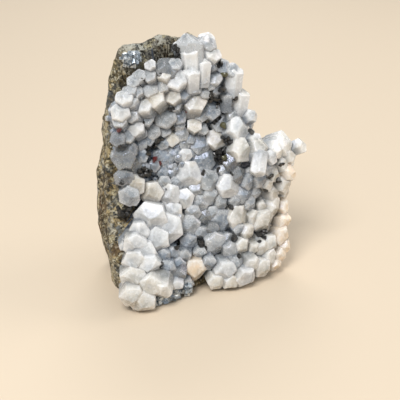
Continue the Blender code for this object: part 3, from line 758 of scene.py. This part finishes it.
def rock_finish(settings):
    """Ore rock: a crowd of olive, tan, grey and pale grains with rust, dark seams and brassy glints."""
    finish = Finish("ore rock")
    coarse, coarse_colour = finish.cells(1.9, 1.7)
    fine, fine_colour = finish.cells(0.8, 1.2)
    pick = finish.part(coarse_colour, 0)
    other = finish.part(fine_colour, 1)
    third = finish.part(coarse_colour, 2)
    olive = finish.mix(pick.ramp(0.2, 0.8), tuple(settings.rock_colour) + (1.0,), (0.27, 0.21, 0.105))
    base = finish.mix(pick.ramp(0.60, 0.72), olive, (0.52, 0.41, 0.22))
    base = finish.mix(third.ramp(0.70, 0.82) * 0.8, base, (0.19, 0.21, 0.22))
    base = finish.mix(other.ramp(0.78, 0.84) * 0.9, base, (0.66, 0.61, 0.47))
    base = finish.mix((1 - other.ramp(0.22, 0.30)) * 0.85, base, (0.025, 0.025, 0.02))
    patches = finish.noise(9.0, 4.0, 0.6)
    base = finish.mix(patches.ramp(0.53, 0.66) * 0.55, base, (0.14, 0.075, 0.03))
    base = finish.mix((1 - patches.ramp(0.34, 0.44)) * 0.45, base, (0.20, 0.22, 0.23))
    rusty = finish.noise(2.2, 3.0).ramp(0.42, 0.60) * 0.75
    for across, back, up, radius in RUST:
        base = finish.mix(finish.near(across, back, up, radius) * rusty, base, (0.24, 0.115, 0.04))
    for across, back, up, radius in PALE:
        pale = finish.near(across, back, up, radius)
        base = finish.mix(pale * other.ramp(0.25, 0.50) * 0.82, base, (0.58, 0.58, 0.52))
    broad = finish.noise(14.0, 3.0, 0.6)
    base = finish.shade((1 - broad.ramp(0.40, 0.52)) * 0.75, base, (0.50, 0.46, 0.38))
    base = finish.mix(broad.ramp(0.54, 0.64) * 0.30, base, (0.46, 0.40, 0.28))
    seams = finish.noise(5.0, 5.0, 0.65)
    base = finish.shade((1 - seams.ramp(0.38, 0.50)) * 0.85, base, (0.22, 0.20, 0.18))
    glint = third.ramp(0.90, 0.92)
    base = finish.mix(glint * 0.7, base, (0.62, 0.55, 0.36))
    roughness = 0.85 - glint * 0.5 - other.ramp(0.80, 0.86) * 0.35
    finish.set(Base_Color=base, Roughness=roughness, Metallic=glint * 0.6)
    height = coarse * -0.6 + fine * -0.35 + finish.noise(0.35, 2.0) * 0.25 + seams * 0.9 + broad * 1.2
    finish.bump(height, 1.1, 0.9)
    return finish.material


def sphalerite_finish():
    """Resin-bright black to deep red grains with fine cleavage steps."""
    finish = Finish("sphalerite")
    tint = finish.kept_colour("grain_tint")
    dust = finish.noise(0.6, 3.0, 0.6).ramp(0.60, 0.78)
    base = finish.mix(dust * 0.25, tint, (0.07, 0.08, 0.07))
    finish.set(Base_Color=base, Roughness=0.24 + dust * 0.4, IOR=2.37, Specular_IOR_Level=0.2)
    _, steps = finish.cells(0.5)
    finish.bump(finish.part(steps, 0), 0.10, 0.8)
    return finish.material


def galena_finish():
    """Blue-grey metal with bright cleavage flats and dull tarnish between."""
    finish = Finish("galena")
    _, own = finish.cells(1.1)
    pick = finish.part(own, 0)
    base = finish.mix(pick.ramp(0.2, 0.9), (0.27, 0.31, 0.35, 1.0), (0.70, 0.74, 0.77))
    tarnish = finish.noise(1.8, 3.0, 0.6).ramp(0.52, 0.70)
    base = finish.mix(tarnish * 0.55, base, (0.10, 0.14, 0.19))
    finish.set(Base_Color=base, Roughness=0.30 + tarnish * 0.3, Metallic=0.85 - tarnish * 0.4)
    finish.bump(pick + finish.noise(0.4, 2.0) * 0.5, 0.12, 0.7)
    return finish.material


def floor_finish(settings):
    """A plain pale matt floor."""
    finish = Finish("pale floor")
    finish.set(Base_Color=tuple(settings.floor_colour) + (1.0,), Roughness=0.75)
    return finish.material


class SpecimenSettings(bpy.types.PropertyGroup):
    """What a user may change on the quartz and the rock."""

    small_crystals: bpy.props.IntProperty(
        name="Small crystals", default=9000, min=0,
        description="How many places on the bed may hold a small crystal",
    )
    small_width: bpy.props.FloatProperty(
        name="Small width", default=2.7, min=1.0, max=6.0,
        description="Usual width of a small crystal, in millimetres",
    )
    glow: bpy.props.FloatProperty(
        name="Glow depth", default=2.4, min=0.0,
        description="How far light spreads inside the quartz, in millimetres",
    )
    film: bpy.props.FloatProperty(
        name="Film", default=185.0, min=0.0,
        description="Thickness of the rainbow film on the faces, in nanometres",
    )
    rock_colour: bpy.props.FloatVectorProperty(
        name="Rock colour", subtype="COLOR", default=(0.165, 0.130, 0.065), min=0, max=1,
        description="Main colour of the ore rock",
    )
    floor_colour: bpy.props.FloatVectorProperty(
        name="Floor colour", subtype="COLOR", default=(0.64, 0.535, 0.41), min=0, max=1,
        description="Colour of the floor",
    )
    key_light: bpy.props.FloatProperty(
        name="Key light", default=4.05, min=0.0, unit="POWER",
        description="Power of the large soft light",
    )


def rock_reach(directions):
    """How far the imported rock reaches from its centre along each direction.

    The triangle that a direction meets is the one where it lies on the inner side of all three planes
    through the centre and a side, and the reach there is (normal . corner) / (normal . direction).
    """
    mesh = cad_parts["matrix_rock"].data
    mesh.calc_loop_triangles()
    index = np.empty(len(mesh.loop_triangles) * 3, np.int32)
    mesh.loop_triangles.foreach_get("vertices", index)
    corner = (corners(mesh) - ROCK_CENTRE)[index.reshape(-1, 3)]
    sides = unit(np.cross(corner, np.roll(corner, -1, axis=1))).reshape(-1, 3)
    normal = np.cross(corner[:, 1] - corner[:, 0], corner[:, 2] - corner[:, 0])
    height = (normal * corner[:, 0]).sum(axis=1)
    reach = []
    for some in np.array_split(directions, SHARES):
        met = (some @ sides.T).reshape(len(some), -1, 3).min(axis=2).argmax(axis=1)
        reach.append(height[met] / (normal[met] * some).sum(axis=1))
    return np.concatenate(reach)


def rock_shape():
    """The rock's points on a fine grid of directions: its own reach, with pebbles and ripples on it."""
    directions = unit(ball(*ROCK_GRID) * ROCK_REACH)
    points = ROCK_CENTRE + directions * rock_reach(directions)[:, None]
    grain = sum(pebbles(points, size, seed) * share for size, seed, share in PEBBLES)
    size, seed, share = RIPPLES
    height = grain - PEBBLES_SUNK + ripple(points, size, seed) * share
    flat = points[:, 2] < GROUND
    points = points + directions * height[:, None]
    points[:, 2] = np.where(flat, 0.0, np.maximum(points[:, 2], 0.0))
    return points


def every_other(points, rings, columns):
    """The grid's points on every other ring and column, and its poles."""
    grid = points[: rings * columns].reshape(rings, columns, 3)[::2, ::2]
    return np.vstack([grid.reshape(-1, 3), points[-2:]])


class SPECIMEN_OT_rock(bpy.types.Operator):
    """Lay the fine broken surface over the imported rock"""

    bl_idname = "specimen.rock"
    bl_label = "Ore rock"

    def execute(self, context):
        settings = context.scene.specimen
        rock = mesh_object("ore_rock", rock_shape(), skin(*ROCK_GRID))
        rock.data.materials.append(rock_finish(settings))
        rock.data.shade_smooth()
        context.scene.collection.objects.link(rock)
        finish_piece(rock, "root", ["matrix_rock"])
        return {"FINISHED"}


def crystal_places(chance):
    """Tip, direction, width and look of every crystal that is listed."""
    places, looks = [], []
    for look, members in CRYSTALS.items():
        places += [(*member, 0) for member in members]
        looks += [look] * len(members)
    places += SIDE_CRYSTALS
    looks += [zone_look(across, up, "grey") for across, up, *_ in SIDE_CRYSTALS]
    across, up, width, behind = np.array(places, float).T
    directions = growth_directions(across, up, chance)
    tips = np.stack([across, face_y(across, up) + behind, up], axis=1)
    sink = np.array([SINK[look] for look in looks])
    uneven = chance.uniform(-TIP_UNEVEN, TIP_UNEVEN, len(width))
    tips += directions * (TIP_REACH * width - sink + uneven)[:, None]
    lengths = np.full(len(width), HEAD_LENGTH)
    for long_across, long_up, long_behind, long_width, length, way, look in LONG_CRYSTALS:
        tips = np.vstack([tips, (long_across, face_y(long_across, long_up) + long_behind, long_up)])
        directions = np.vstack([directions, unit(np.array(way))])
        width = np.append(width, long_width)
        lengths = np.append(lengths, length)
        looks.append(look)
    return tips, directions, width, lengths, looks


def zone_look(across, up, otherwise):
    """The look that the small crystals take at a place."""
    for zone_across, zone_up, radius, look in ZONES.values():
        if math.hypot(across - zone_across, up - zone_up) < radius:
            return look
    return otherwise


def bed_crystals(bed_points, tips, widths, settings, chance):
    """Small crystals wherever the bed has room between the large ones and the dark grains."""
    cover = quartz_cover(bed_points)
    open_bed = (cover > OPEN_BED) & (bed_points[:, 2] > SMALL_FROM) & (bed_points[:, 2] < SMALL_TO)
    order = chance.permutation(np.flatnonzero(open_bed))[: settings.small_crystals]
    roots = bed_points[order]
    outward = unit((roots - ROCK_CENTRE) / ROCK_REACH**2)
    forward = growth_directions(roots[:, 0], roots[:, 2], chance)
    facing = np.clip(-outward[:, 1:2], 0, 1)
    splay = chance.normal(0, SMALL_SPLAY, roots.shape)
    directions = unit(outward * (1 - TURN_FORWARD * facing) + forward * TURN_FORWARD * facing + splay)
    width = settings.small_width * chance.uniform(*SMALL_WIDTHS, len(roots))
    rise = chance.uniform(*SMALL_RISES, len(roots))
    rise = rise * (RISE_SHARES[0] + RISE_SHARES[1] * width / settings.small_width)
    small_tips = roots + directions * rise[:, None]
    blocks, block_sizes = grain_places(SPHALERITE, GRAIN_DEPTH)
    grains, grain_sizes = grain_places(SMALL_GRAINS, SMALL_GRAIN_DEPTH)
    taken = np.vstack([tips, blocks, grains])
    taken_sizes = np.concatenate([widths, block_sizes, grain_sizes])
    kept = spaced(small_tips, width, taken, taken_sizes)
    return small_tips[kept], directions[kept], width[kept]


def grain_places(groups, depth):
    """Middles and sizes of the dark grains of those groups, at a distance behind the crystal tips."""
    members = [(*member, DEEPER.get(name, 0)) for name, clump in groups.items() for member in clump]
    across, up, size, deeper = np.array(members).T
    return np.stack([across, face_y(across, up) + depth + deeper, up], axis=1), size


def beside_crystals(places, sizes, tips, widths):
    """Places moved outwards in the face until each lies at the rim of its nearest crystal."""
    offset = places[:, None, :] - tips[None, :, :]
    offset[:, :, 1] = 0
    away = np.linalg.norm(offset, axis=2)
    nearest = (away / widths).argmin(axis=1)
    row = np.arange(len(places))
    rim = widths[nearest] / 2 + sizes * GRAIN_OUTSIDE
    outward = offset[row, nearest] / away[row, nearest, None]
    return places + outward * np.maximum(0, rim - away[row, nearest])[:, None]


def shards(places, sizes, chance):
    """Each dark block as several small grains crowded round its middle."""
    offset = chance.uniform(-SHARD_SPREAD, SHARD_SPREAD, (len(places), SHARDS, 3))
    offset = offset * sizes[:, None, None] * SHARD_SQUASH
    size = sizes[:, None] * chance.uniform(*SHARD_SIZES, (len(places), SHARDS))
    return (places[:, None, :] + offset).reshape(-1, 3), size.ravel()


def fused(name, shapes, faces, least):
    """One piece of many closed shapes, with their numbers on its faces and without loose splinters."""
    first, *others = [mesh_object(name, points, faces) for points in shapes]
    for number, shape in enumerate((first, *others)):
        number_faces(shape, number)
    bpy.context.scene.collection.objects.link(first)
    combine(first, "UNION", others)
    keep_bodies(first, least)
    return first


class SPECIMEN_OT_quartz(bpy.types.Operator):
    """Grow the quartz bed with all its crystals over the rock"""

    bl_idname = "specimen.quartz"
    bl_label = "Quartz crystals"

    def execute(self, context):
        settings = context.scene.specimen
        chance = np.random.default_rng(CRYSTAL_SEED)
        rings, columns = ROCK_GRID
        rock_points = every_other(rock_shape(), rings, columns)
        grid = (math.ceil(rings / 2), math.ceil(columns / 2))
        outward = unit((rock_points - ROCK_CENTRE) / ROCK_REACH**2)
        size, seed, share = BED_RIPPLES
        cover = quartz_cover(rock_points) + share * ripple(rock_points, size, seed)
        bed_points = rock_points + outward * cover[:, None]
        bed_points[:, 2] = np.maximum(bed_points[:, 2], GROUND_CLEARANCE)
        tips, directions, widths, lengths, looks = crystal_places(chance)
        small = bed_crystals(bed_points, tips, widths, settings, chance)
        small_tips, small_directions, small_widths = small
        for across, _, up in small_tips:
            looks.append(zone_look(across, up, chance.choice(LOOKS_ELSEWHERE)))
        lengths = np.append(lengths, SMALL_LENGTH[0] + SMALL_LENGTH[1] * small_widths)
        tips = np.vstack([tips, small_tips])
        directions = np.vstack([directions, small_directions])
        widths = np.append(widths, small_widths)
        points = crystal_points(tips, directions, widths, lengths, chance)
        points[:, :, 2] = np.maximum(points[:, :, 2], GROUND_CLEARANCE)
        quartz = mesh_object("quartz_crystals", bed_points, skin(*grid))
        context.scene.collection.objects.link(quartz)
        number_faces(quartz, 0)
        faces = skin(CRYSTAL_RINGS, CRYSTAL_COLUMNS)
        others = []
        for number, own in enumerate(points):
            other = mesh_object(f"crystal {number}", own, faces)
            number_faces(other, number + 1)
            if widths[number] > BEVELLED_FROM:
                edge = other.modifiers.new("Worn edges", "BEVEL")
                edge.width = BEVEL * widths[number] * MM
                edge.segments = 1
                edge.limit_method = "ANGLE"
            others.append(other)
        combine(quartz, "UNION", others)
        core = mesh_object("core", rock_points - outward * CORE_CLEARANCE, skin(*grid))
        number_faces(core, 0)
        combine(quartz, "DIFFERENCE", [core])
        keep_bodies(quartz, LEAST_CORNERS["quartz"])
        reach = np.where(lengths > HEAD_LENGTH, LONG_REACH * lengths, widths)
        self.dress(quartz.data, tips, directions, widths, reach, looks, chance)
        for clarity, name in enumerate(("milky quartz", "cloudy quartz", "clear quartz")):
            quartz.data.materials.append(quartz_finish(name, clarity, settings))
        quartz.data.materials.append(rock_finish(settings))
        finish_piece(quartz, "root", ["quartz_crust"])
        return {"FINISHED"}

    def dress(self, mesh, tips, directions, widths, reach, looks, chance):
        """Give each face its crystal's tint, and each corner its way down and out from the axis."""
        number = read_numbers(mesh)
        tints = np.array([TINTS["bed"]] + [TINTS[look] for look in looks])
        tints[1:] *= chance.uniform(*TINT_UNEVEN, (len(looks), 1))
        tints = np.clip(np.column_stack([tints, np.ones(len(tints))]), 0, BRIGHTEST_TINT)
        clarity = np.array([CLARITY["bed"]] + [CLARITY[look] for look in looks])
        mesh.materials.clear()
        middle = np.empty(len(mesh.polygons) * 3)
        mesh.polygons.foreach_get("center", middle)
        middle = to_millimetres(middle.reshape(-1, 3))
        bare = (number == 0) & ((quartz_cover(middle) < THIN_BED) | (middle[:, 2] > BARE_ABOVE))
        mesh.polygons.foreach_set("material_index", np.where(bare, 3, clarity[number]).astype(np.int32))
        add_values(mesh, "crystal_tint", "FLOAT_COLOR", "FACE", tints[number])
        sides = np.empty(len(mesh.polygons), np.int32)
        mesh.polygons.foreach_get("loop_total", sides)
        of_corner = np.repeat(number, sides)
        vertex = np.empty(len(mesh.loops), np.int32)
        mesh.loops.foreach_get("vertex_index", vertex)
        place = corners(mesh)[vertex]
        own = np.maximum(of_corner - 1, 0)
        away = place - tips[own]
        down = -(away * directions[own]).sum(axis=1)
        out = np.linalg.norm(away + down[:, None] * directions[own], axis=1)
        on_bed = of_corner == 0
        # The bed's corners lie past every foot, so the painted shade covers the bed fully.
        depth = np.where(on_bed, BED_DEPTH, down / reach[own])
        rim = np.where(on_bed, 0.0, out / widths[own] * 2)
        add_values(mesh, "crystal_depth", "FLOAT", "CORNER", depth)
        add_values(mesh, "crystal_rim", "FLOAT", "CORNER", rim)
        mesh.attributes.remove(mesh.attributes["shape"])


def grain_points(centres, sizes, chance):
    """Blocky grains: the reach along a direction is the least of distance / (flat . direction)."""
    count = len(centres)
    directions = ball(*GRAIN_GRID)
    flats = unit(chance.normal(size=(count, GRAIN_FLATS, 3)))
    distance = chance.uniform(*GRAIN_REACHES, (count, GRAIN_FLATS, 1))
    reach = distance / np.maximum(np.einsum("nfx,px->nfp", flats, directions), GRAIN_GRAZING)
    reach = np.minimum(reach.min(axis=1), GRAIN_LONGEST)
    return centres[:, None, :] + directions[None] * (reach * sizes[:, None] / 2)[:, :, None]


class SPECIMEN_OT_sphalerite(bpy.types.Operator):
    """Set the dark grains into the crevices"""

    bl_idname = "specimen.sphalerite"
    bl_label = "Sphalerite grains"

    def execute(self, context):
        chance = np.random.default_rng(GRAIN_SEED)
        centres, sizes = shards(*grain_places(SPHALERITE, GRAIN_DEPTH), chance)
        looks = ["black"] * len(sizes)
        small_centres, small_sizes = grain_places(SMALL_GRAINS, SMALL_GRAIN_DEPTH)
        tips, _, widths, *_ = crystal_places(np.random.default_rng(CRYSTAL_SEED))
        small_centres = beside_crystals(small_centres, small_sizes, tips, widths)
        centres = np.vstack([centres, small_centres])
        sizes = np.append(sizes, small_sizes)
        looks += [look for look, clump in SMALL_GRAINS.items() for _ in clump]
        points = grain_points(centres, sizes, chance)
        grains = fused("sphalerite_grains", points, skin(*GRAIN_GRID), LEAST_CORNERS["grains"])
        tints = np.array([(*GRAIN_TINTS[look], 1.0) for look in looks])
        add_values(grains.data, "grain_tint", "FLOAT_COLOR", "FACE", tints[read_numbers(grains.data)])
        grains.data.materials.append(sphalerite_finish())
        nodes = [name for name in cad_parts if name.startswith("sphalerite_")]
        finish_piece(grains, "root", nodes)
        return {"FINISHED"}


def cube_points(centre, size, count, chance):
    """Cubes about a centre: four corners above, side / sqrt(2) from the axis, four below, two middles."""
    side = chance.uniform(*CUBE_SIDES, count)
    away = chance.uniform(*CUBE_SPREAD, (count, 1)) * size
    offset = unit(chance.normal(size=(count, 3))) * away * CUBE_SQUASH
    turn = chance.uniform(0, 2 * np.pi, (count, 1))
    angle = turn + np.radians((45, 135, 225, 315))
    flat = np.stack([np.cos(angle), np.sin(angle)], axis=-1) * math.sqrt(0.5)
    upper = np.concatenate([flat, np.full((count, 4, 1), 0.5)], axis=2)
    lower = np.concatenate([flat, np.full((count, 4, 1), -0.5)], axis=2)
    poles = np.tile([(0, 0, 0.5), (0, 0, -0.5)], (count, 1, 1))
    local = np.concatenate([upper, lower, poles], axis=1) * side[:, None, None]
    tilt = chance.normal(0, CUBE_TILT, (count, 2))[:, :1]  # one tilt is enough of the two that are drawn
    lean = np.concatenate([np.cos(tilt), np.sin(tilt)], axis=1)
    y = local[:, :, 1] * lean[:, :1] - local[:, :, 2] * lean[:, 1:]
    z = local[:, :, 1] * lean[:, 1:] + local[:, :, 2] * lean[:, :1]
    turned = np.stack([local[:, :, 0], y, z], axis=-1)
    return np.array(centre) + offset[:, None, :] + turned


class SPECIMEN_OT_galena(bpy.types.Operator):
    """Seat the groups of metallic cubes on the bare rock"""

    bl_idname = "specimen.galena"
    bl_label = "Galena cubes"

    def execute(self, context):
        chance = np.random.default_rng(CUBE_SEED)
        points = np.concatenate([cube_points(*group, chance) for group in GALENA.values()])
        points[:, :, 2] = np.maximum(points[:, :, 2], GROUND_CLEARANCE)
        cubes = fused("galena_cubes", points, skin(*CUBE_GRID), LEAST_CORNERS["galena"])
        cubes.data.materials.append(galena_finish())
        nodes = [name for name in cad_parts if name.startswith("galena_")]
        finish_piece(cubes, "root", nodes)
        return {"FINISHED"}


def look_from(place, target):
    """The turn that points an object's -Z from a place to a target."""
    return (Vector(target) - Vector(place)).to_track_quat("-Z", "Y").to_euler()


class SPECIMEN_OT_stage(bpy.types.Operator):
    """Set the floor, the soft lights and the camera"""

    bl_idname = "specimen.stage"
    bl_label = "Stage"

    def execute(self, context):
        settings = context.scene.specimen
        floor_corners = np.array([(-1, -1, 0), (1, -1, 0), (1, 1, 0), (-1, 1, 0)]) * FLOOR_HALF
        floor = mesh_object("floor", floor_corners, [(0, 1, 2, 3)])
        floor.data.materials.append(floor_finish(settings))
        context.scene.collection.objects.link(floor)
        world = bpy.data.worlds.new("pale room")
        context.scene.world = world
        world.use_nodes = True
        background = world.node_tree.nodes["Background"]
        background.inputs["Color"].default_value = ROOM_TINT
        background.inputs["Strength"].default_value = ROOM_STRENGTH
        context.scene.view_settings.view_transform = "Standard"
        for name, (place, size, share, tint) in LIGHTS.items():
            lamp = bpy.data.lights.new(name, "AREA")
            lamp.shape = "DISK"
            lamp.size = size
            lamp.energy = settings.key_light * share
            lamp.color = tint
            holder = bpy.data.objects.new(name, lamp)
            holder.location = place
            holder.rotation_euler = look_from(place, LIGHTS_AIM)
            context.scene.collection.objects.link(holder)
        lens = bpy.data.cameras.new("camera")
        lens.lens = LENS
        lens.sensor_width = SENSOR
        camera = bpy.data.objects.new("camera", lens)
        level = math.cos(VIEW_HEIGHT)
        away = (math.sin(VIEW_TURN) * level, -math.cos(VIEW_TURN) * level, math.sin(VIEW_HEIGHT))
        place = to_metres(VIEW_TARGET + np.array(away) * VIEW_DISTANCE)
        camera.location = place
        camera.rotation_euler = look_from(place, to_metres(VIEW_TARGET))
        context.scene.collection.objects.link(camera)
        context.scene.camera = camera
        return {"FINISHED"}


class SPECIMEN_PT_panel(bpy.types.Panel):
    """The pieces of the specimen"""

    bl_idname = "SPECIMEN_PT_panel"
    bl_label = "Aura quartz"
    bl_space_type = "VIEW_3D"
    bl_region_type = "UI"
    bl_category = "Aura Quartz"

    def draw(self, context):
        for name in SpecimenSettings.__annotations__:
            self.layout.prop(context.scene.specimen, name)
        for operator in OPERATORS:
            self.layout.operator(operator.bl_idname)


OPERATORS = (
    SPECIMEN_OT_stage,
    SPECIMEN_OT_rock,
    SPECIMEN_OT_quartz,
    SPECIMEN_OT_sphalerite,
    SPECIMEN_OT_galena,
)
CLASSES = (SpecimenSettings, *OPERATORS, SPECIMEN_PT_panel)


def register():
    for each in CLASSES:
        bpy.utils.register_class(each)
    bpy.types.Scene.specimen = bpy.props.PointerProperty(type=SpecimenSettings)


def unregister():
    del bpy.types.Scene.specimen
    for each in reversed(CLASSES):
        bpy.utils.unregister_class(each)


def main():
    register()
    bpy.ops.specimen.stage()
    bpy.ops.specimen.rock()
    bpy.ops.specimen.quartz()
    bpy.ops.specimen.sphalerite()
    bpy.ops.specimen.galena()


if __name__ == "__main__":
    main()
